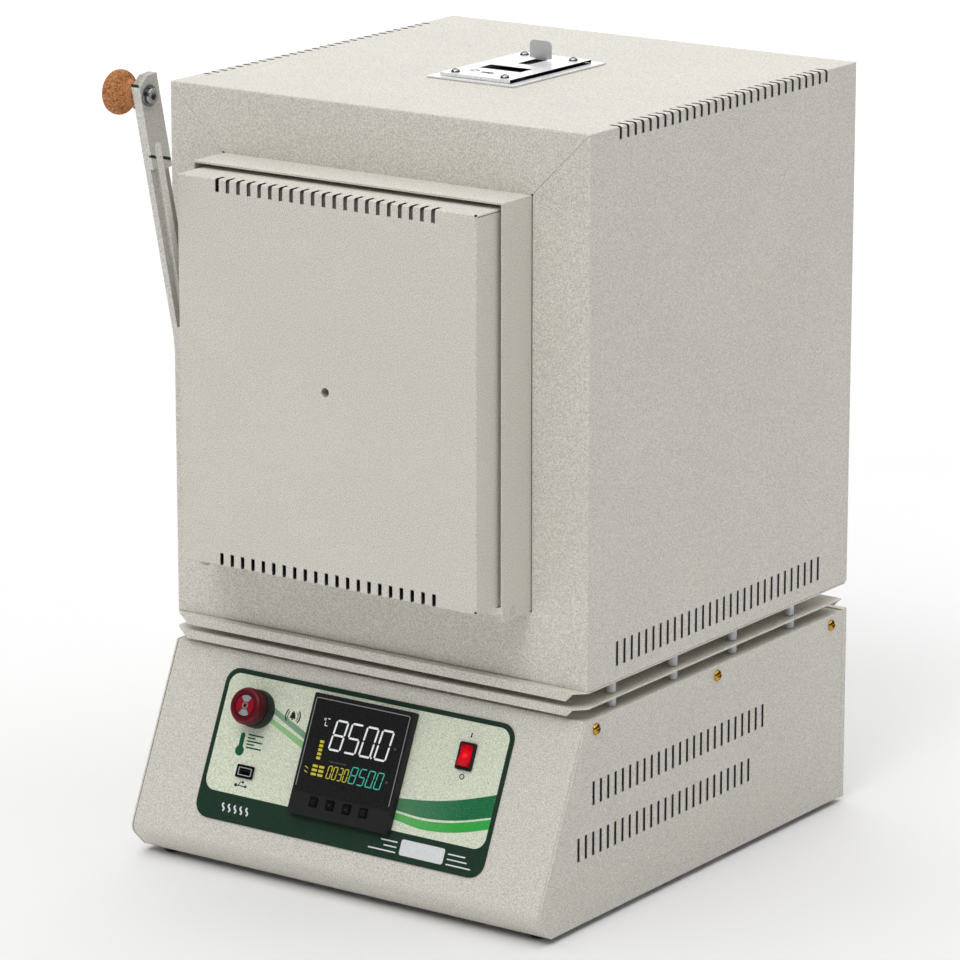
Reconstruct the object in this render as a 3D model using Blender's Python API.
"""Bench-top muffle furnace (a small front-loading kiln) on a ventilated control base.

Every length below is in millimetres in the furnace's own frame, and becomes metres when a mesh is made:
X to the right, Y to the back with y = 0 on the casing's front face, Z up with z = 0 on the casing's bottom
edge. The empty `kiln_origin` carries that frame to the world, whose origin is on the floor under the middle of
the furnace. Parts on the sloping control panel use the panel's own frame: x to the right, y up the slope from
its top edge, z outward.
"""

import math

import bmesh
import bpy
from mathutils import Matrix, Vector

MM = 0.001
GAP = 0.3  # clearance between touching pieces

# Upper casing
CASING_HALF = 200.0
CASING_TOP = 434.0
SHEET = 1.5
SHELL_BACK = 381.7
BACK_PANEL = (382.0, 384.0)
EDGE_RADIUS = 2.0
SLOT_WIDTH = 3.2
SLOT_PITCH = 10.24
SIDE_SLOTS = 30
SIDE_SLOT_MID_Y = 189.0
SIDE_SLOT_Z = (11.0, 31.0)
EDGE_SLOT_REACH = 10.0
ROOF_HOLE_R = 13.0

# Shroud that frames the door, folded out of the casing's front
HOOD_HALF = 147.0
HOOD_TOP = 381.8
HOOD_BOTTOM = 56.0
HOOD_FRONT = -38.5
RELIEF_R = 1.3
SEAM = 0.6  # width of the grooves where folded sheets meet

# Door and its lever, all turning on the hinge shaft
HINGE_Y = -24.5
HINGE_Z = 62.0
HINGE = (0.0, HINGE_Y, HINGE_Z)
SHAFT_R = 3.2
SHAFT_HOLE_R = 3.5
DOOR_HALF = 142.0
DOOR_Z = (66.9, 376.7)
DOOR_Y = (-65.8, -8.0)
DOOR_SLOTS = 21
DOOR_SLOT_REACH = 10.5
DOOR_FOLD_R = 1.6
PEEP_Z = 221.5
PEEP_TUBE_R = (3.5, 5.0)
PLUG_BACK = 34.0
RAIL_HALF = 145.0
RAIL_BOTTOM = 56.8
SHAFT_X = (-158.5, 148.0)
LEVER_X = (-157.0, -149.0)
LEVER_WIDTH = 23.0
KNEE = (-42.5, 245.0)
LEVER_TOP = (-91.0, 456.0)
RIB_ACROSS = (-5.6, 1.2)  # the lever's rib, measured across the arm from its middle
RIB_MID_Z = 392.0
RIB_TOP = 8.0
RIB_BOTTOM = -142.0
RIB_RISE = 1.0
KNOB_Y = -89.5
KNOB_Z = 440.2
KNOB_R = 17.7
BOLT_R = 3.0

# Firing chamber
THROAT_PLATE_HALF = 184.0
THROAT_PLATE_Y = (2.0, 3.5)
THROAT_PLATE_Z = (8.0, 420.0)
INSULATION_HALF = 182.0
INSULATION_Y = (4.0, 371.0)
INSULATION_TOP = 418.0
CHAMBER_Z = (111.0, 333.0)
THROAT_HALF = 115.0
THROAT_BACK = 332.0
MUFFLE_FRONT = 40.0
MUFFLE_WALL = 8.0
MUFFLE_GAP = 2.0
HEATER_THICK = 6.5
HEATER_Y = (50.0, 317.0)
HEATER_Z = (134.0, 315.0)
GROOVES = 6
GROOVE_PITCH = 30.0
GROOVE_MID_Z = 222.0
GROOVE_HEIGHT = 8.0
GROOVE_DEPTH = 3.5
HEARTH_HALF = 97.0
HEARTH_Y = (46.0, 318.0)
HEARTH_THICK = 9.7
FLUE_Y = 177.0
FLUE_R = (8.0, 10.0)
THERMOCOUPLE_X = 40.0
THERMOCOUPLE_Z = 290.0
THERMOCOUPLE_R = 3.2
THERMOCOUPLE_HEAD_R = 9.0
THERMOCOUPLE_Y = (297.0, 380.5)

# Flue vent on the roof
VENT_MID_Y = 192.0
VENT_PLATE_HALF = (42.0, 65.0)
VENT_PLATE_Z = (CASING_TOP + GAP, CASING_TOP + 1.5)
VENT_HOLE_HALF = (20.0, 8.5)
DAMPER_Z = (436.0, 437.0)
DAMPER_TAB_Y = 226.0
DAMPER_TRAVEL = 22.0
COVER_HALF = 33.5
COVER_Z = (437.3, 438.3)
COVER_Y = (134.0, 249.0)

# Trays, spacers and base
LIP_FRONT = -7.3
LIP_CHAMFER = 8.5
FLOOR_LIP = 7.3
SHIELD_LIP = 6.3
SHIELD_TOP = -13.0
SHIELD_BACK = 376.0
STANDOFF_R = 3.3
STANDOFF_WAIST_R = 2.2
BASE_TOP = -24.0
BASE_SKIRT = 18.0
BASE_BOTTOM = -186.0
BASE_BACK = 377.5
REAR_PAN = (378.0, 385.0)
NOSE_Y = -66.1
NOSE_Z = -168.6
NOSE_R = 10.0
UNDERCUT_Y = -48.7
FOOT_HEIGHT = 5.0
FOOT_X = 180.0
FOOT_Y = (-34.0, 350.0)
BASE_SLOTS = 25
BASE_SLOT_ROWS = ((131.9, -93.5, -74.0), (111.4, -134.3, -114.8))  # middle y, lowest z, highest z
STANDOFF_X = 191.0
STANDOFF_Y = (46.0, 133.5, 221.0, 308.5)
SCREW_Y = (12.0, 185.5, 360.0)
SCREW_Z = -32.5
SCREW_HEAD_R = 3.7
SCREW_STEM_R = 2.0

# Control panel, in the panel's frame
PANEL_TOP_Y = -1.3
OVERLAY_SIZE = (282.0, 122.8)
OVERLAY_MID = (-0.7, -74.6)
OVERLAY_Z = (0.3, 0.9)
FACE_Z = 1.2  # underside of every bezel that sits on the overlay
CONTROLLER_MID = (0.0, -68.8)
CONTROLLER_SIDE = 97.6
CONTROLLER_BODY = 90.0
CONTROLLER_FACE = 7.2
BUTTON_SIZE = 7.2
BUTTON_X = tuple(-25.8 + 16.2 * i for i in range(4))
BUTTON_Y = -105.6
BUZZER_MID = (-103.0, -43.0)
BUZZER_R = 15.2
BUZZER_FACE = 21.6
SWITCH_MID = (101.0, -44.7)
SWITCH_SIZE = (15.6, 22.0)
ROCKER_AXIS_Z = 1.4
ROCKER_TILT = math.radians(7.0)
USB_MID = (-100.5, -94.0)
USB_SIZE = (17.5, 11.0)
GLAND_X = 150.0
GLAND_Z = -150.0
GLAND_BACK = 399.0
GLAND_BORE_R = 4.0
GLAND_STEM_R = 8.0
RELAY_BASE_Y = (215.0, 305.0)
RELAY_BASE_HALF = 38.0

FLOOR_Z = BASE_BOTTOM - GAP - FOOT_HEIGHT
FRONT_Y = KNOB_Y - KNOB_R
PANEL_SLOPE = math.atan2(PANEL_TOP_Y - NOSE_Y, BASE_TOP - NOSE_Z)  # lean from the vertical


# ---------------------------------------------------------------- tools

def material(name, color, roughness, metallic=0.0):
    made = bpy.data.materials.new(name)
    made.use_nodes = True
    shader = made.node_tree.nodes["Principled BSDF"]
    shader.inputs["Base Color"].default_value = (*color, 1.0)
    shader.inputs["Roughness"].default_value = roughness
    shader.inputs["Metallic"].default_value = metallic
    made.diffuse_color = (*color, 1.0)
    return made


def place(axis, u, v, w):
    """A point from two coordinates across an axis and one along it."""
    return {"X": (w, u, v), "Y": (u, w, v), "Z": (u, v, w)}[axis]


def prism(outline, axis, low, high):
    """A closed outline extruded along an axis."""
    bm = bmesh.new()
    rings = [[bm.verts.new(place(axis, u, v, w)) for u, v in outline] for w in (low, high)]
    bm.faces.new(rings[0])
    bm.faces.new(rings[1])
    count = len(outline)
    for i in range(count):
        j = (i + 1) % count
        bm.faces.new((rings[0][i], rings[0][j], rings[1][j], rings[1][i]))
    bmesh.ops.recalc_face_normals(bm, faces=bm.faces)
    return bm


def box(low, high):
    outline = ((low[0], low[1]), (high[0], low[1]), (high[0], high[1]), (low[0], high[1]))
    return prism(outline, "Z", low[2], high[2])


def arc(center, radius, start, end, steps):
    """Points on an arc, angles in degrees, both ends included."""
    angles = [math.radians(start + (end - start) * i / steps) for i in range(steps + 1)]
    return [(center[0] + radius * math.cos(a), center[1] + radius * math.sin(a)) for a in angles]


def circle(center, radius, sides):
    return arc(center, radius, 0.0, 360.0, sides)[:-1]


def rounded_rectangle(mid, size, radius, steps=3):
    points = []
    for corner, (sx, sy) in enumerate(((1, 1), (-1, 1), (-1, -1), (1, -1))):
        center = (mid[0] + sx * (size[0] / 2 - radius), mid[1] + sy * (size[1] / 2 - radius))
        points += arc(center, radius, 90.0 * corner, 90.0 * corner + 90.0, steps)
    return points


def turned(profile, axis="Z", center=(0.0, 0.0), sides=24):
    """A solid of revolution. The profile runs along the axis as (radius, height) from one end to the other;
    a radius of 0 closes an end, and a profile that starts and ends on the same point makes a ring."""
    bm = bmesh.new()
    ring_shaped = profile[0] == profile[-1]
    points = profile[:-1] if ring_shaped else profile
    rings = []
    for radius, height in points:
        if radius == 0.0:
            rings.append([bm.verts.new(place(axis, *center, height))])
            continue
        across = circle(center, radius, sides)
        rings.append([bm.verts.new(place(axis, u, v, height)) for u, v in across])
    pairs = list(zip(rings, rings[1:]))
    if ring_shaped:
        pairs.append((rings[-1], rings[0]))
    for lower, upper in pairs:
        for i in range(sides):
            j = (i + 1) % sides
            corners = [lower[i % len(lower)], lower[j % len(lower)], upper[j % len(upper)], upper[i % len(upper)]]
            bm.faces.new(list(dict.fromkeys(corners)))
    bmesh.ops.recalc_face_normals(bm, faces=bm.faces)
    return bm


def merged(*shapes):
    """Several bmeshes as one, each still its own island."""
    whole = bmesh.new()
    for shape in shapes:
        copy = bpy.data.meshes.new("copy")
        shape.to_mesh(copy)
        whole.from_mesh(copy)
        bpy.data.meshes.remove(copy)
    return whole


def row(count, pitch, middle):
    """Evenly spaced centres."""
    return [middle + (i - (count - 1) / 2) * pitch for i in range(count)]


def linked(name, bm):
    mesh = bpy.data.meshes.new(name)
    bm.to_mesh(mesh)
    bm.free()
    made = bpy.data.objects.new(name, mesh)
    bpy.context.scene.collection.objects.link(made)
    return made


def combined(target, operation, shape):
    """Cuts a shape out of the target, or joins it on."""
    tool = linked("tool", shape)
    modifier = target.modifiers.new(operation.lower(), "BOOLEAN")
    modifier.operation = operation
    modifier.solver = "EXACT"
    modifier.object = tool
    evaluated = target.evaluated_get(bpy.context.evaluated_depsgraph_get())
    target.data = bpy.data.meshes.new_from_object(evaluated)
    target.modifiers.clear()
    bpy.data.objects.remove(tool)


def part(name, shape, finish, parent, steps=(), origin=(0.0, 0.0, 0.0), round_shape=False):
    """One sub-part: a shape, then the cuts and additions, then its material, place and parent.

    Shapes come in the parent frame's millimetres; `origin` is where the object's own origin goes."""
    made = linked(name, shape)
    for operation, other in steps:
        combined(made, operation, other)
    made.data.name = name
    made.data.transform(Matrix.Scale(MM, 4) @ Matrix.Translation(-Vector(origin)))
    made.data.materials.clear()
    made.data.materials.append(finish)
    if round_shape:
        made.data.shade_smooth()
        made.data.set_sharp_from_angle(angle=math.radians(35))
    made.location = Vector(origin) * MM - Vector(parent["frame_mm"]) * MM
    made.parent = parent
    return made


def frame_empty(name, location_mm, rotation=(0.0, 0.0, 0.0), parent=None, frame_mm=(0.0, 0.0, 0.0)):
    """An empty that carries a frame. Its children are given in millimetres measured from `frame_mm`'s zero."""
    made = bpy.data.objects.new(name, None)
    bpy.context.scene.collection.objects.link(made)
    made.location = Vector(location_mm) * MM
    made.rotation_euler = rotation
    made.parent = parent
    made["frame_mm"] = frame_mm
    return made


def cut(shape):
    return ("DIFFERENCE", shape)


def add(shape):
    return ("UNION", shape)


# ---------------------------------------------------------------- upper casing

def casing_outer_box():
    """The casing's outer block, with the bend radius on its folded edges."""
    bm = box((-CASING_HALF, 0.0, 0.0), (CASING_HALF, SHELL_BACK, CASING_TOP))
    folded = []
    for edge in bm.edges:
        a, b = (vert.co for vert in edge.verts)
        on_top = a.z > 1.0 and b.z > 1.0
        on_front = a.y < 1.0 and b.y < 1.0
        along_side = abs(a.x - b.x) < 1.0
        if (on_top or on_front) and (along_side or (on_top and on_front)):
            folded.append(edge)
    bmesh.ops.bevel(bm, geom=folded, offset=EDGE_RADIUS, segments=2, profile=0.5, affect="EDGES")
    return bm


def casing_slots():
    """Ventilation slots: one row low on each side, and one row over each top edge."""
    cutters = []
    half = SLOT_WIDTH / 2
    for side in (-1, 1):
        for y in row(SIDE_SLOTS, SLOT_PITCH, SIDE_SLOT_MID_Y):
            x_low, x_high = sorted((side * (CASING_HALF - 5.0), side * (CASING_HALF + 5.0)))
            cutters.append(box((x_low, y - half, SIDE_SLOT_Z[0]), (x_high, y + half, SIDE_SLOT_Z[1])))
            x_low, x_high = sorted((side * (CASING_HALF - EDGE_SLOT_REACH), side * (CASING_HALF + 5.0)))
            cutters.append(box((x_low, y - half, CASING_TOP - EDGE_SLOT_REACH), (x_high, y + half, CASING_TOP + 5.0)))
    return merged(*cutters)


def mitre_grooves():
    """The seams where the front flanges meet at the two top corners."""
    grooves = []
    for side in (-1, 1):
        start = Vector((side * HOOD_HALF, HOOD_TOP))
        end = Vector((side * (CASING_HALF + 1.0), CASING_TOP + 1.0))
        across = (end - start).normalized().orthogonal() * SEAM / 2
        outline = [start - across, end - across, end + across, start + across]
        grooves.append(prism([tuple(p) for p in outline], "Y", -1.0, 0.5))
    return merged(*grooves)


def front_seam():
    """The groove along the front's bottom edge, as wide as the shroud above it."""
    half = HOOD_HALF + SHEET
    return box((-half, -1.0, -1.0), (half, SEAM, SEAM))


def hood_lips():
    """Three lips folded forward round the door: left, top and right, open below."""
    inner = HOOD_HALF - SHEET
    outline = [(-HOOD_HALF, HOOD_BOTTOM), (-HOOD_HALF, HOOD_TOP), (HOOD_HALF, HOOD_TOP), (HOOD_HALF, HOOD_BOTTOM),
               (inner, HOOD_BOTTOM), (inner, HOOD_TOP - SHEET), (-inner, HOOD_TOP - SHEET), (-inner, HOOD_BOTTOM)]
    return prism(outline, "Y", HOOD_FRONT, SHEET / 2)


def corner_reliefs():
    """Small relief holes in the front where the lips' folds end."""
    spots = [(side * HOOD_HALF, z) for side in (-1, 1) for z in (HOOD_TOP, HOOD_BOTTOM)]
    return merged(*[prism(circle(spot, RELIEF_R, 12), "Y", -0.9, SHEET + 1.0) for spot in spots])


def casing_shell(finish, parent):
    inner_half = HOOD_HALF - SHEET
    steps = [
        cut(box((SHEET - CASING_HALF, SHEET, -5.0), (CASING_HALF - SHEET, SHELL_BACK + 5.0, CASING_TOP - SHEET))),
        cut(box((-inner_half, -5.0, HOOD_BOTTOM), (inner_half, SHEET + 5.0, HOOD_TOP - SHEET))),
        add(hood_lips()),
        cut(casing_slots()),
        cut(mitre_grooves()),
        cut(front_seam()),
        cut(corner_reliefs()),
        cut(prism(circle((0.0, FLUE_Y), ROOF_HOLE_R, 20), "Z", CASING_TOP - 5.0, CASING_TOP + 5.0)),
        cut(prism(circle((HINGE_Y, HINGE_Z), SHAFT_HOLE_R, 16), "X", -HOOD_HALF - 5.0, HOOD_HALF + 5.0)),
    ]
    part("casing_shell", casing_outer_box(), finish, parent, steps)


def throat_plate(finish, parent):
    """The plate behind the door that faces the insulation, with the chamber's mouth in it."""
    mouth = box((-THROAT_HALF, 0.0, CHAMBER_Z[0]), (THROAT_HALF, 10.0, CHAMBER_Z[1]))
    low = (-THROAT_PLATE_HALF, THROAT_PLATE_Y[0], THROAT_PLATE_Z[0])
    high = (THROAT_PLATE_HALF, THROAT_PLATE_Y[1], THROAT_PLATE_Z[1])
    part("throat_plate", box(low, high), finish, parent, [cut(mouth)])


def casing_back_panel(finish, parent):
    low = (-CASING_HALF, BACK_PANEL[0], 0.0)
    high = (CASING_HALF, BACK_PANEL[1], CASING_TOP)
    part("casing_back_panel", box(low, high), finish, parent)


def tray_outline(back):
    """A tray's plan: its front edge stands forward and its front corners are cut at 45 degrees."""
    half, chamfer = CASING_HALF, LIP_CHAMFER
    return [(-half, back), (-half, LIP_FRONT + chamfer), (-half + chamfer, LIP_FRONT),
            (half - chamfer, LIP_FRONT), (half, LIP_FRONT + chamfer), (half, back)]


def flange(y_low, y_high, half, top, depth):
    """A strip bent down from a tray, its lower corners cut at 45 degrees."""
    outline = [(-half, top), (half, top), (half - depth, top - depth), (depth - half, top - depth)]
    return prism(outline, "Y", y_low, y_high)


def casing_floor_plate(finish, parent):
    half = CASING_HALF - LIP_CHAMFER
    front = flange(LIP_FRONT, LIP_FRONT + SHEET, half, -GAP - SHEET / 2, FLOOR_LIP)
    part("casing_floor_plate", prism(tray_outline(SHELL_BACK), "Z", -GAP - SHEET, -GAP), finish, parent, [add(front)])


def heat_shield(finish, parent):
    """The tray that hangs between the hot casing and the electronics."""
    back, middle = SHIELD_BACK, SHIELD_TOP - SHEET / 2
    holes = [prism(circle((side * STANDOFF_X, y), STANDOFF_WAIST_R + 0.4, 8), "Z", SHIELD_TOP - 5.0, SHIELD_TOP + 5.0)
             for side in (-1, 1) for y in STANDOFF_Y]
    steps = [
        add(flange(LIP_FRONT, LIP_FRONT + SHEET, CASING_HALF - LIP_CHAMFER, middle, SHIELD_LIP)),
        add(flange(back - SHEET, back, CASING_HALF, middle, SHIELD_LIP)),
        cut(merged(*holes)),
    ]
    part("heat_shield", prism(tray_outline(back), "Z", SHIELD_TOP - SHEET, SHIELD_TOP), finish, parent, steps)


def standoffs(finish, parent):
    """Spacer columns that carry the casing through the heat shield, eight in all."""
    low, high = BASE_TOP + GAP, -GAP - SHEET - GAP
    waist_low, waist_high = SHIELD_TOP - SHEET - GAP, SHIELD_TOP + GAP
    outer, waist = STANDOFF_R, STANDOFF_WAIST_R
    profile = [(0.0, low), (outer, low), (outer, waist_low), (waist, waist_low), (waist, waist_high),
               (outer, waist_high), (outer, high), (0.0, high)]
    number = 0
    for side in (-1, 1):
        for y in STANDOFF_Y:
            number += 1
            column = turned(profile, "Z", (side * STANDOFF_X, y), 10)
            part(f"standoff_{number}", column, finish, parent, round_shape=True)


# ---------------------------------------------------------------- firing chamber

def flue_cut(radius, low, high):
    return cut(prism(circle((0.0, FLUE_Y), radius, 20), "Z", low, high))


def thermocouple_cut(radius, low, high):
    return cut(prism(circle((THERMOCOUPLE_X, THERMOCOUPLE_Z), radius, 12), "Y", low, high))


def insulation_block(finish, parent):
    pocket = box((-THROAT_HALF, 0.0, CHAMBER_Z[0]), (THROAT_HALF, THROAT_BACK, CHAMBER_Z[1]))
    steps = [
        cut(pocket),
        flue_cut(FLUE_R[1] + 4.0, CHAMBER_Z[1] - 5.0, INSULATION_TOP + 5.0),
        thermocouple_cut(THERMOCOUPLE_R + 2.8, THROAT_BACK - 5.0, INSULATION_Y[1] + 5.0),
    ]
    low = (-INSULATION_HALF, INSULATION_Y[0], GAP)
    high = (INSULATION_HALF, INSULATION_Y[1], INSULATION_TOP)
    part("insulation_block", box(low, high), finish, parent, steps)


def muffle_chamber(finish, parent):
    half, low, high = THROAT_HALF - MUFFLE_GAP, CHAMBER_Z[0] + MUFFLE_GAP, CHAMBER_Z[1] - MUFFLE_GAP
    front, back, wall = MUFFLE_FRONT, THROAT_BACK - MUFFLE_GAP, MUFFLE_WALL
    hollow = box((wall - half, front - 5.0, low + wall), (half - wall, back - wall, high - wall))
    steps = [
        cut(hollow),
        flue_cut(FLUE_R[1] + 1.0, high - wall - 5.0, high + 5.0),
        thermocouple_cut(THERMOCOUPLE_R + 1.3, back - wall - 5.0, back + 5.0),
    ]
    part("muffle_chamber", box((-half, front, low), (half, back, high)), finish, parent, steps)


def heaters(finish, parent):
    """Grooved ceramic plates that hold the heating coils, one on each side wall."""
    outer = THROAT_HALF - MUFFLE_GAP - MUFFLE_WALL - 0.5
    margin, half = 5.0, GROOVE_HEIGHT / 2
    for name, side in (("heater_left", -1), ("heater_right", 1)):
        face = side * (outer - HEATER_THICK)
        x_low, x_high = sorted((side * outer, face))
        groove_low, groove_high = sorted((face - side, face + side * GROOVE_DEPTH))
        grooves = [box((groove_low, HEATER_Y[0] + margin, z - half), (groove_high, HEATER_Y[1] - margin, z + half))
                   for z in row(GROOVES, GROOVE_PITCH, GROOVE_MID_Z)]
        plate = box((x_low, HEATER_Y[0], HEATER_Z[0]), (x_high, HEATER_Y[1], HEATER_Z[1]))
        part(name, plate, finish, parent, [cut(merged(*grooves))])


def hearth_plate(finish, parent):
    low = CHAMBER_Z[0] + MUFFLE_GAP + MUFFLE_WALL + GAP
    plate = box((-HEARTH_HALF, HEARTH_Y[0], low), (HEARTH_HALF, HEARTH_Y[1], low + HEARTH_THICK))
    part("hearth_plate", plate, finish, parent)


def thermocouple(finish, parent):
    """A sheathed probe through the chamber's back wall, with its terminal head behind the insulation."""
    tip, back = THERMOCOUPLE_Y
    radius, head, seat = THERMOCOUPLE_R, THERMOCOUPLE_HEAD_R, INSULATION_Y[1] + GAP
    profile = [(0.0, tip), (radius - 1.0, tip + 2.0), (radius, tip + 6.0), (radius, seat), (head, seat), (head, back),
               (0.0, back)]
    probe = turned(profile, "Y", (THERMOCOUPLE_X, THERMOCOUPLE_Z), 12)
    part("thermocouple", probe, finish, parent, round_shape=True)


def flue_tube(finish, parent):
    low, high = CHAMBER_Z[1] - 9.0, CASING_TOP - GAP
    inner, outer = FLUE_R
    profile = [(inner, low), (outer, low), (outer, high), (inner, high), (inner, low)]
    part("flue_tube", turned(profile, "Z", (0.0, FLUE_Y), 20), finish, parent, round_shape=True)


# ---------------------------------------------------------------- flue vent on the roof

def vent_opening(margin):
    half_x, half_y = VENT_HOLE_HALF[0] + margin, VENT_HOLE_HALF[1] + margin
    return box((-half_x, FLUE_Y - half_y, CASING_TOP - 4.0), (half_x, FLUE_Y + half_y, COVER_Z[1] + 5.0))


def vent_plate(finish, parent):
    half_x, half_y = VENT_PLATE_HALF
    plate = box((-half_x, VENT_MID_Y - half_y, VENT_PLATE_Z[0]), (half_x, VENT_MID_Y + half_y, VENT_PLATE_Z[1]))
    part("vent_plate", plate, finish, parent, [cut(vent_opening(1.0))])


def vent_cover(finish, parent):
    """A shallow channel over the plate, open at both sides; the damper runs inside it."""
    foot = VENT_PLATE_Z[1] + GAP
    outline = [(COVER_Y[0], foot), (COVER_Y[0], COVER_Z[1]), (COVER_Y[1], COVER_Z[1]), (COVER_Y[1], foot),
               (COVER_Y[1] - 1.0, foot), (COVER_Y[1] - 1.0, COVER_Z[0]), (COVER_Y[0] + 1.0, COVER_Z[0]),
               (COVER_Y[0] + 1.0, foot)]
    slot_half, slot_end = 5.6, 3.0
    tab_slot = box((-slot_half, DAMPER_TAB_Y - DAMPER_TRAVEL - slot_end, CASING_TOP),
                   (slot_half, DAMPER_TAB_Y + slot_end, COVER_Z[1] + 5.0))
    steps = [cut(vent_opening(0.0)), cut(tab_slot)]
    part("vent_cover", prism(outline, "X", -COVER_HALF, COVER_HALF), finish, parent, steps)


def vent_damper(finish, parent):
    """A sliding plate with an upright finger tab; it is drawn back, so the flue is open."""
    blade_top = DAMPER_Z[1]
    neck, half, corner, thick = 4.8, 10.5, 4.0, 1.2
    foot, shoulder, top = blade_top - 0.5, blade_top + 2.0, blade_top + 17.0
    tab = [(-neck, foot), (-neck, shoulder), (-half, shoulder + 0.7)]
    tab += arc((corner - half, top - corner), corner, 180.0, 90.0, 3)
    tab += arc((half - corner, top - corner), corner, 90.0, 0.0, 3)
    tab += [(half, shoulder + 0.7), (neck, shoulder), (neck, foot)]
    upright = prism(tab, "Y", DAMPER_TAB_Y - thick / 2, DAMPER_TAB_Y + thick / 2)
    blade = box((-21.0, DAMPER_TAB_Y - 36.0, DAMPER_Z[0]), (21.0, DAMPER_TAB_Y + 18.0, blade_top))
    part("vent_damper", blade, finish, parent, [add(upright)], origin=(0.0, DAMPER_TAB_Y, blade_top))


# ---------------------------------------------------------------- base

def base_profile(inset=0.0):
    """The base's side outline in (y, z) from the top front corner, round the nose, to the bottom front corner."""
    slope_angle = 180.0 - math.degrees(PANEL_SLOPE)
    under_angle = 225.0
    half_turn = math.radians(under_angle - slope_angle) / 2
    bisector = math.radians((slope_angle + under_angle) / 2)
    reach = NOSE_R / math.cos(half_turn)
    center = (NOSE_Y - reach * math.cos(bisector), NOSE_Z - reach * math.sin(bisector))
    nose = arc(center, NOSE_R - inset, slope_angle, under_angle, 4)
    top = (PANEL_TOP_Y + inset / math.cos(PANEL_SLOPE), BASE_TOP)
    bottom = (UNDERCUT_Y + inset * math.sqrt(2.0), BASE_BOTTOM)
    return [top] + nose + [bottom]


def base_slots(side):
    cutters = []
    x_low, x_high = sorted((side * (CASING_HALF - 5.0), side * (CASING_HALF + 5.0)))
    for middle, low, high in BASE_SLOT_ROWS:
        for y in row(BASE_SLOTS, SLOT_PITCH, middle):
            half = SLOT_WIDTH / 2
            cutters.append(box((x_low, y - half, low), (x_high, y + half, high)))
    return merged(*cutters)


def screw_holes(radius, low, high):
    return merged(*[prism(circle((y, SCREW_Z), radius, 8), "X", low, high) for y in SCREW_Y])


def base_sides(finish, parent):
    outline = base_profile() + [(BASE_BACK, BASE_BOTTOM), (BASE_BACK, BASE_TOP)]
    for name, side in (("base_side_left", -1), ("base_side_right", 1)):
        low, high = sorted((side * CASING_HALF, side * (CASING_HALF - SHEET)))
        steps = [cut(base_slots(side)), cut(screw_holes(SCREW_STEM_R + 0.5, low - 1.0, high + 1.0))]
        part(name, prism(outline, "X", low, high), finish, parent, steps)


def base_front_panel(finish, parent):
    """The sloping front, folded round the nose and back under the base, with the control cut-outs."""
    outline = base_profile() + base_profile(SHEET)[::-1]
    half = CASING_HALF - SHEET - GAP
    part("base_front_panel", prism(outline, "X", -half, half), finish, parent, [cut(panel_cutouts(-8.0, 8.0, True))])


def base_roof(finish, parent):
    """The base's top, with a skirt down each side that takes the side screws."""
    half, skirt = CASING_HALF - SHEET - GAP, BASE_TOP - BASE_SKIRT
    front = PANEL_TOP_Y + SHEET / math.cos(PANEL_SLOPE) + 1.2 * GAP
    outline = [(-half, BASE_TOP), (half, BASE_TOP), (half, skirt), (half - SHEET, skirt),
               (half - SHEET, BASE_TOP - SHEET), (SHEET - half, BASE_TOP - SHEET), (SHEET - half, skirt), (-half, skirt)]
    steps = [cut(screw_holes(SCREW_STEM_R + 0.5, -CASING_HALF - 5.0, CASING_HALF + 5.0))]
    part("base_roof", prism(outline, "Y", front, BASE_BACK), finish, parent, steps)


def base_floor(finish, parent):
    half = CASING_HALF - SHEET - GAP
    low, high = BASE_BOTTOM, BASE_BOTTOM + SHEET
    part("base_floor", box((-half, UNDERCUT_Y + 4.0, low), (half, BASE_BACK, high)), finish, parent)


def base_back_panel(finish, parent):
    """A shallow pan that closes the back and shows as a strip behind the sides."""
    front, back = REAR_PAN
    half, low, high = CASING_HALF, BASE_BOTTOM - 1.0, BASE_TOP + 1.0
    hollow = box((SHEET - half, front - 5.0, low + SHEET), (half - SHEET, back - SHEET, high - SHEET))
    hole = prism(circle((GLAND_X, GLAND_Z), GLAND_STEM_R + GAP, 16), "Y", front, back + 5.0)
    part("base_back_panel", box((-half, front, low), (half, back, high)), finish, parent, [cut(hollow), cut(hole)])


def side_screws(finish, parent):
    """Brass screws along the top edge of each side panel."""
    number = 0
    for side in (-1, 1):
        face = side * (CASING_HALF + GAP)
        tip = side * (CASING_HALF - 8.0)
        for y in SCREW_Y:
            number += 1
            stem, head = SCREW_STEM_R, SCREW_HEAD_R
            profile = [(0.0, tip), (stem, tip), (stem, face), (head, face), (head, face + side * 0.6),
                       (head - 1.3, face + side * 1.5), (0.0, face + side * 1.8)]
            screw = turned(profile, "X", (y, SCREW_Z), 12)
            part(f"side_screw_{number}", screw, finish, parent, round_shape=True)


def feet(finish, parent):
    top = BASE_BOTTOM - GAP
    profile = [(0.0, FLOOR_Z), (7.5, FLOOR_Z), (9.0, FLOOR_Z + 1.5), (9.5, top), (0.0, top)]
    for end, y in (("front", FOOT_Y[0]), ("rear", FOOT_Y[1])):
        for side, x in (("left", -FOOT_X), ("right", FOOT_X)):
            part(f"foot_{end}_{side}", turned(profile, "Z", (x, y), 16), finish, parent, round_shape=True)


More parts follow.
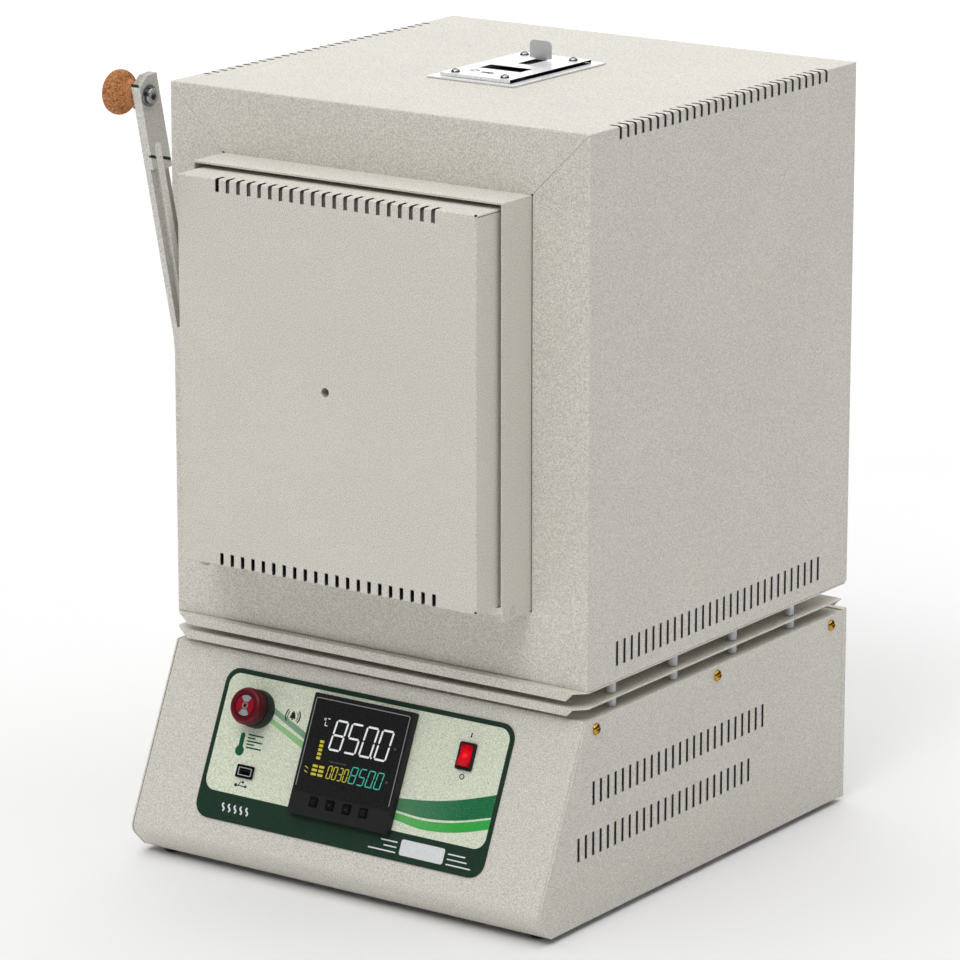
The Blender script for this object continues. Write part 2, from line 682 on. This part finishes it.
def cable_gland(finish, parent):
    """The mains lead's entry in the base's back: a nut and a stub with a through bore."""
    face, front = REAR_PAN[1] + GAP, REAR_PAN[1] - 15.0
    bore, stem, cap, nut = GLAND_BORE_R, GLAND_STEM_R, GLAND_STEM_R + 1.5, GLAND_STEM_R + 4.0
    profile = [(bore, front), (stem, front), (stem, face), (nut, face), (nut, face + 5.0), (cap, face + 7.0),
               (cap, GLAND_BACK), (bore, GLAND_BACK), (bore, front)]
    part("cable_gland", turned(profile, "Y", (GLAND_X, GLAND_Z), 16), finish, parent, round_shape=True)


def power_relay(finish, parent):
    """The solid-state relay on its heat sink, on the base's floor behind the controller."""
    floor, half = BASE_BOTTOM + SHEET + GAP, RELAY_BASE_HALF
    front, back = RELAY_BASE_Y
    fins = [box((x - 2.0, front, floor + 8.0), (x + 2.0, back, floor + 26.0)) for x in row(7, 11.0, 0.0)]
    relay = box((-22.0, front + 15.0, floor + 25.0), (22.0, back - 17.0, floor + 52.0))
    base = box((-half, front, floor), (half, back, floor + 9.0))
    part("power_relay", base, finish, parent, [add(merged(*fins)), add(relay)])


# ---------------------------------------------------------------- control panel

def rectangle_cut(mid, width, height, low, high):
    return box((mid[0] - width / 2, mid[1] - height / 2, low), (mid[0] + width / 2, mid[1] + height / 2, high))


def panel_matrix():
    """From the panel's frame to the furnace's."""
    turn = Matrix.Rotation(math.pi / 2 - PANEL_SLOPE, 4, "X")
    return Matrix.Translation((0.0, PANEL_TOP_Y, BASE_TOP)) @ turn


def panel_cutouts(low, high, in_furnace_frame):
    """The holes through the front panel and the overlay for the controls' bodies."""
    shapes = [
        rectangle_cut(CONTROLLER_MID, CONTROLLER_BODY + 1.0, CONTROLLER_BODY + 1.0, low, high),
        rectangle_cut(SWITCH_MID, SWITCH_SIZE[0] - 2.0, SWITCH_SIZE[1] - 2.0, low, high),
        rectangle_cut(USB_MID, USB_SIZE[0] - 2.0, USB_SIZE[1] - 2.0, low, high),
        prism(circle(BUZZER_MID, 11.3, 20), "Z", low, high),
    ]
    cutters = merged(*shapes)
    if in_furnace_frame:
        cutters.transform(panel_matrix())
    return cutters


def control_overlay(finish, parent):
    outline = rounded_rectangle(OVERLAY_MID, OVERLAY_SIZE, 13.0, 5)
    steps = [cut(panel_cutouts(-8.0, 8.0, False))]
    part("control_overlay", prism(outline, "Z", *OVERLAY_Z), finish, parent, steps)


def controller(finish, parent):
    """The panel-mounted temperature controller: a square bezel, its case behind, and four button pockets."""
    outline = rounded_rectangle(CONTROLLER_MID, (CONTROLLER_SIDE, CONTROLLER_SIDE), 1.0, 2)
    case = rectangle_cut(CONTROLLER_MID, CONTROLLER_BODY, CONTROLLER_BODY, -55.0, FACE_Z + 1.0)
    side = BUTTON_SIZE + 0.8
    pockets = [rectangle_cut((x, BUTTON_Y), side, side, CONTROLLER_FACE - 3.0, CONTROLLER_FACE + 3.0) for x in BUTTON_X]
    part("controller", prism(outline, "Z", FACE_Z, CONTROLLER_FACE), finish, parent, [add(case), cut(merged(*pockets))])


def controller_buttons(finish, parent):
    """Square keys that stand a little proud of the bezel and press in."""
    back = CONTROLLER_FACE - 1.9
    for number, x in enumerate(BUTTON_X, 1):
        outline = rounded_rectangle((x, BUTTON_Y), (BUTTON_SIZE, BUTTON_SIZE), 1.2, 2)
        key = prism(outline, "Z", back, CONTROLLER_FACE + 0.9)
        part(f"controller_button_{number}", key, finish, parent, origin=(x, BUTTON_Y, back))


def buzzer(finish, parent):
    """The panel alarm: a ringed cap in front of a threaded body."""
    stem, collar, cap, dish = 10.8, BUZZER_R + 0.4, BUZZER_R - 0.3, 6.0
    profile = [(0.0, -26.0), (stem, -26.0), (stem, FACE_Z), (collar, FACE_Z), (collar, 7.0), (cap, 7.6),
               (cap, BUZZER_FACE - 1.6), (cap - 1.1, BUZZER_FACE), (dish, BUZZER_FACE), (dish - 0.8, BUZZER_FACE - 0.8),
               (0.0, BUZZER_FACE - 0.8)]
    part("buzzer", turned(profile, "Z", BUZZER_MID, 32), finish, parent, round_shape=True)


def usb_port(finish, parent):
    outline = rounded_rectangle(USB_MID, USB_SIZE, 1.5, 2)
    body = rectangle_cut(USB_MID, USB_SIZE[0] - 3.0, USB_SIZE[1] - 3.0, -18.0, FACE_Z + 0.5)
    socket = rectangle_cut(USB_MID, 12.8, 6.6, -12.0, 10.0)
    part("usb_port", prism(outline, "Z", FACE_Z, FACE_Z + 1.4), finish, parent, [add(body), cut(socket)])


def switch_housing(finish, parent):
    outline = rounded_rectangle(SWITCH_MID, SWITCH_SIZE, 1.2, 2)
    body = rectangle_cut(SWITCH_MID, SWITCH_SIZE[0] - 3.0, SWITCH_SIZE[1] - 3.0, -18.0, FACE_Z + 0.5)
    pocket = rectangle_cut(SWITCH_MID, 10.6, 18.4, ROCKER_AXIS_Z - 5.0, 10.0)
    part("switch_housing", prism(outline, "Z", FACE_Z, FACE_Z + 1.8), finish, parent, [add(body), cut(pocket)])


def power_rocker(finish, parent):
    """The lit rocker, with its upper end pressed in; it tips about its middle."""
    half, dip, rise, keel = 8.6, 2.6, 4.2, -2.6
    outline = [(-half, -0.8), (-half, rise), (0.0, dip), (half, rise), (half, -0.8), (3.0, keel), (-3.0, keel)]
    turn = Matrix.Rotation(-ROCKER_TILT, 2)
    tilted = []
    for along, out in outline:
        moved = turn @ Vector((along, out))
        tilted.append((SWITCH_MID[1] + moved.x, ROCKER_AXIS_Z + moved.y))
    key = prism(tilted, "X", SWITCH_MID[0] - 4.9, SWITCH_MID[0] + 4.9)
    part("power_rocker", key, finish, parent, origin=(*SWITCH_MID, ROCKER_AXIS_Z))


# ---------------------------------------------------------------- door

def door_slots():
    """Slots along the door's top and bottom edges, folded over onto those edges."""
    cutters = []
    half = SLOT_WIDTH / 2
    front = DOOR_Y[0]
    low, high = DOOR_Z
    for x in row(DOOR_SLOTS, SLOT_PITCH, 0.0):
        for z_low, z_high in ((high - DOOR_SLOT_REACH, high + 5.0), (low - 5.0, low + DOOR_SLOT_REACH)):
            cutters.append(box((x - half, front - 5.0, z_low), (x + half, front + DOOR_SLOT_REACH, z_high)))
    return merged(*cutters)


def door_shell(finish, parent):
    """The door's outer pan, open at the back."""
    front, back = DOOR_Y
    low, high = DOOR_Z
    outer = box((-DOOR_HALF, front, low), (DOOR_HALF, back, high))
    face_edges = [e for e in outer.edges if all(v.co.y < front + 1.0 for v in e.verts)]
    upright = [e for e in outer.edges if abs(e.verts[0].co.y - e.verts[1].co.y) > 1.0]
    bmesh.ops.bevel(outer, geom=face_edges + upright, offset=DOOR_FOLD_R, segments=2, profile=0.5, affect="EDGES")
    hollow = box((SHEET - DOOR_HALF, front + SHEET, low + SHEET), (DOOR_HALF - SHEET, back + 5.0, high - SHEET))
    peep = prism(circle((0.0, PEEP_Z), PEEP_TUBE_R[0] + 0.1, 16), "Y", front - 5.0, front + 10.0)
    part("door_shell", outer, finish, parent, [cut(hollow), cut(door_slots()), cut(peep)], origin=HINGE)


def door_back_plate(finish, parent):
    """The sheet that closes the door's back round the plug."""
    low, high, front, half = DOOR_Z[0] + 0.5, DOOR_Z[1] - 0.5, DOOR_Y[1] + GAP, DOOR_HALF - 0.5
    plate = box((-half, front, low), (half, front + 1.2, high))
    window_half = THROAT_HALF - 1.5
    window = box((-window_half, front - 10.0, CHAMBER_Z[0] + 2.0), (window_half, front + 10.0, CHAMBER_Z[1] - 2.0))
    part("door_back_plate", plate, finish, parent, [cut(window)], origin=HINGE)


def door_plug(finish, parent):
    """The door's insulation: a slab inside the pan and a tapered plug that enters the chamber's mouth."""
    low, high = DOOR_Z
    slab_back, wall, margin, taper = DOOR_Y[1] - 0.4, 4.0, 3.0, 5.0
    half, plug_low, plug_high = THROAT_HALF - margin, CHAMBER_Z[0] + margin + 2.0, CHAMBER_Z[1] - margin - 1.0
    plug = box((-half, slab_back - 2.0, plug_low), (half, PLUG_BACK, plug_high))
    for vert in plug.verts:
        if vert.co.y > 0.0:
            vert.co.x -= math.copysign(taper, vert.co.x)
            vert.co.z += taper if vert.co.z < PEEP_Z else -taper
    bore = prism(circle((0.0, PEEP_Z), PEEP_TUBE_R[1] + GAP, 12), "Y", DOOR_Y[0] - 10.0, PLUG_BACK + 10.0)
    slab = box((wall - DOOR_HALF, DOOR_Y[0] + 16.0, low + wall), (DOOR_HALF - wall, slab_back, high - wall))
    part("door_plug", slab, finish, parent, [add(plug), cut(bore)], origin=HINGE)


def peephole_tube(finish, parent):
    front, back = DOOR_Y[0] + SHEET + GAP, PLUG_BACK - 0.5
    (inner, outer), collar = PEEP_TUBE_R, PEEP_TUBE_R[1] + 3.0
    profile = [(inner, front), (collar, front), (collar, front + 1.5), (outer, front + 1.5), (outer, back), (inner, back),
               (inner, front)]
    part("peephole_tube", turned(profile, "Y", (0.0, PEEP_Z), 16), finish, parent, origin=HINGE, round_shape=True)


def hinge_rail(finish, parent):
    """The bar under the door that is bored for the hinge shaft."""
    top, step, front, back = DOOR_Z[0] - GAP, HINGE_Z - 1.3, HINGE_Y - 13.0, HINGE_Y + 11.0
    outline = [(front, top), (front, step), (HINGE_Y - 8.5, step), (HINGE_Y - 4.0, RAIL_BOTTOM), (back, RAIL_BOTTOM),
               (back, top)]
    bore = prism(circle((HINGE_Y, HINGE_Z), SHAFT_HOLE_R, 16), "X", -RAIL_HALF - 5.0, RAIL_HALF + 5.0)
    part("hinge_rail", prism(outline, "X", -RAIL_HALF, RAIL_HALF), finish, parent, [cut(bore)], origin=HINGE)


def hinge_shaft(finish, parent):
    left, right = SHAFT_X
    profile = [(0.0, left), (SHAFT_R, left + 0.5), (SHAFT_R, right - 0.4), (0.0, right)]
    shaft = turned(profile, "X", (HINGE_Y, HINGE_Z), 16)
    part("hinge_shaft", shaft, finish, parent, origin=HINGE, round_shape=True)


def lever_outline():
    """The arm in (y, z): a hub round the shaft, up to the knee, then leaning forward to a clipped top corner."""
    hub, knee, top = Vector((HINGE_Y, HINGE_Z)), Vector(KNEE), Vector(LEVER_TOP)
    half = LEVER_WIDTH / 2
    lower = (knee - hub).normalized()
    upper = (top - knee).normalized()
    lower_front = lower.orthogonal() * half
    upper_front = upper.orthogonal() * half
    joint_front = (lower_front + upper_front) / 2
    start = math.degrees(math.atan2(lower_front.y, lower_front.x))
    corners = [knee - joint_front, top - upper_front - upper * 1.5, top, top + upper_front - upper * 6.0,
               knee + joint_front]
    return arc(tuple(hub), half, start, start + 180.0, 8) + [tuple(c) for c in corners]


def lever_arm(finish, parent):
    """A flat bar: below two narrow slits its inner face steps back on both sides of a raised rib."""
    knee = Vector(KNEE)
    along = (Vector(LEVER_TOP) - knee).normalized()
    across = Vector((along.y, -along.x))
    middle = knee + along * ((RIB_MID_Z - knee.y) / along.y)
    face, half, reach = LEVER_X[1], LEVER_WIDTH / 2, LEVER_WIDTH
    rib_low, rib_high = RIB_ACROSS

    def on_face(outline, low, high):
        """An outline in (across, along) from the rib's middle, raised on the inner face."""
        return prism([tuple(middle + across * u + along * w) for u, w in outline], "X", low, high)

    def strip(low_u, high_u, low_w, high_w, depth, drop=0.0):
        outline = [(low_u, low_w), (high_u, low_w - drop), (high_u, high_w - drop), (low_u, high_w)]
        return on_face(outline, face - depth, face + 5.0)

    rib_mid, rib_half = (rib_low + rib_high) / 2, (rib_high - rib_low) / 2
    rib_outline = [(rib_low, RIB_BOTTOM), (rib_high, RIB_BOTTOM)] + arc((rib_mid, RIB_TOP), rib_half, 0.0, 180.0, 6)
    reliefs = merged(strip(-reach, rib_low, RIB_BOTTOM, -8.0, 2.6), strip(rib_high, reach, RIB_BOTTOM, -13.5, 4.0))
    slits = merged(strip(-half - 1.0, rib_low - 0.5, 2.6, 4.4, 2.0, 3.6),
                   strip(rib_high + 1.6, half, -4.0, -2.2, 2.0, 4.9))
    holes = merged(prism(circle((HINGE_Y, HINGE_Z), SHAFT_HOLE_R, 16), "X", -170.0, -140.0),
                   prism(circle((KNOB_Y, KNOB_Z), BOLT_R + 0.4, 12), "X", -170.0, -140.0))
    steps = [cut(reliefs), cut(slits), add(on_face(rib_outline, face - 1.0, face + RIB_RISE)), cut(holes)]
    part("lever_arm", prism(lever_outline(), "X", *LEVER_X), finish, parent, steps, origin=HINGE)


def lever_knob(finish, parent):
    """A mushroom-shaped cork knob on the arm's outer face."""
    foot = LEVER_X[0] - GAP
    head = foot - 22.0
    profile = [(0.0, foot), (12.5, foot), (10.6, foot - 3.0), (9.6, foot - 7.0), (10.4, foot - 11.0), (14.0, foot - 14.2),
               (KNOB_R - 0.6, foot - 17.5), (KNOB_R, head + 1.0), (KNOB_R - 1.2, head - 2.0), (14.0, head - 4.4),
               (8.5, head - 6.2), (0.0, head - 7.0)]
    socket = prism(circle((KNOB_Y, KNOB_Z), BOLT_R + GAP, 12), "X", foot - 14.0, foot + 5.0)
    knob = turned(profile, "X", (KNOB_Y, KNOB_Z), 28)
    part("lever_knob", knob, finish, parent, [cut(socket)], origin=HINGE, round_shape=True)


def knob_bolt(finish, parent):
    """The socket-head bolt and washer that hold the knob, on the arm's inner face."""
    face = LEVER_X[1] + GAP
    tip, seat, top = LEVER_X[0] - 12.0, face + 1.4, face + 5.8
    washer, head = 8.4, 6.0
    profile = [(0.0, tip), (BOLT_R, tip + 0.5), (BOLT_R, face), (washer, face), (washer, seat), (head, seat),
               (head, top - 0.8), (head - 0.6, top), (0.0, top)]
    recess = prism(circle((KNOB_Y, KNOB_Z), 2.9, 6), "X", seat + 0.8, top + 5.0)
    bolt = turned(profile, "X", (KNOB_Y, KNOB_Z), 20)
    part("knob_bolt", bolt, finish, parent, [cut(recess)], origin=HINGE, round_shape=True)


def main():
    for stale in list(bpy.data.objects):
        bpy.data.objects.remove(stale)

    powder_coat = material("powder_coat", (0.60, 0.58, 0.53), 0.55)
    stainless = material("stainless", (0.72, 0.72, 0.72), 0.28, 1.0)
    zinc = material("zinc_plate", (0.62, 0.63, 0.65), 0.35, 1.0)
    brass = material("brass", (0.62, 0.42, 0.10), 0.30, 1.0)
    fibre = material("ceramic_fibre", (0.88, 0.86, 0.80), 0.95)
    firebrick = material("muffle_ceramic", (0.78, 0.70, 0.58), 0.90)
    label_green = material("label_green", (0.62, 0.72, 0.52), 0.40)
    black_plastic = material("black_plastic", (0.03, 0.03, 0.035), 0.45)
    red_plastic = material("red_plastic", (0.35, 0.01, 0.03), 0.35)
    lit_red = material("lit_red", (0.90, 0.03, 0.02), 0.25)
    cork = material("cork", (0.50, 0.22, 0.09), 0.85)
    rubber = material("rubber", (0.05, 0.05, 0.05), 0.80)

    origin = frame_empty("kiln_origin", (0.0, -(FRONT_Y + GLAND_BACK) / 2, -FLOOR_Z))
    hinge = frame_empty("door_hinge_axis", HINGE, parent=origin, frame_mm=HINGE)
    panel = frame_empty("control_panel_frame", (0.0, PANEL_TOP_Y, BASE_TOP),
                        (math.pi / 2 - PANEL_SLOPE, 0.0, 0.0), origin)

    casing_shell(powder_coat, origin)
    throat_plate(stainless, origin)
    casing_back_panel(powder_coat, origin)
    casing_floor_plate(powder_coat, origin)
    heat_shield(powder_coat, origin)
    standoffs(zinc, origin)

    insulation_block(fibre, origin)
    muffle_chamber(firebrick, origin)
    heaters(firebrick, origin)
    hearth_plate(firebrick, origin)
    thermocouple(firebrick, origin)
    flue_tube(firebrick, origin)

    vent_plate(stainless, origin)
    vent_cover(stainless, origin)
    vent_damper(stainless, origin)

    base_sides(powder_coat, origin)
    base_front_panel(powder_coat, origin)
    base_roof(powder_coat, origin)
    base_floor(zinc, origin)
    base_back_panel(powder_coat, origin)
    side_screws(brass, origin)
    feet(rubber, origin)
    cable_gland(black_plastic, origin)
    power_relay(black_plastic, origin)

    control_overlay(label_green, panel)
    controller(black_plastic, panel)
    controller_buttons(rubber, panel)
    buzzer(red_plastic, panel)
    usb_port(zinc, panel)
    switch_housing(black_plastic, panel)
    power_rocker(lit_red, panel)

    door_shell(powder_coat, hinge)
    door_back_plate(stainless, hinge)
    door_plug(fibre, hinge)
    peephole_tube(firebrick, hinge)
    hinge_rail(powder_coat, hinge)
    hinge_shaft(zinc, hinge)
    lever_arm(powder_coat, hinge)
    lever_knob(cork, hinge)
    knob_bolt(zinc, hinge)


main()
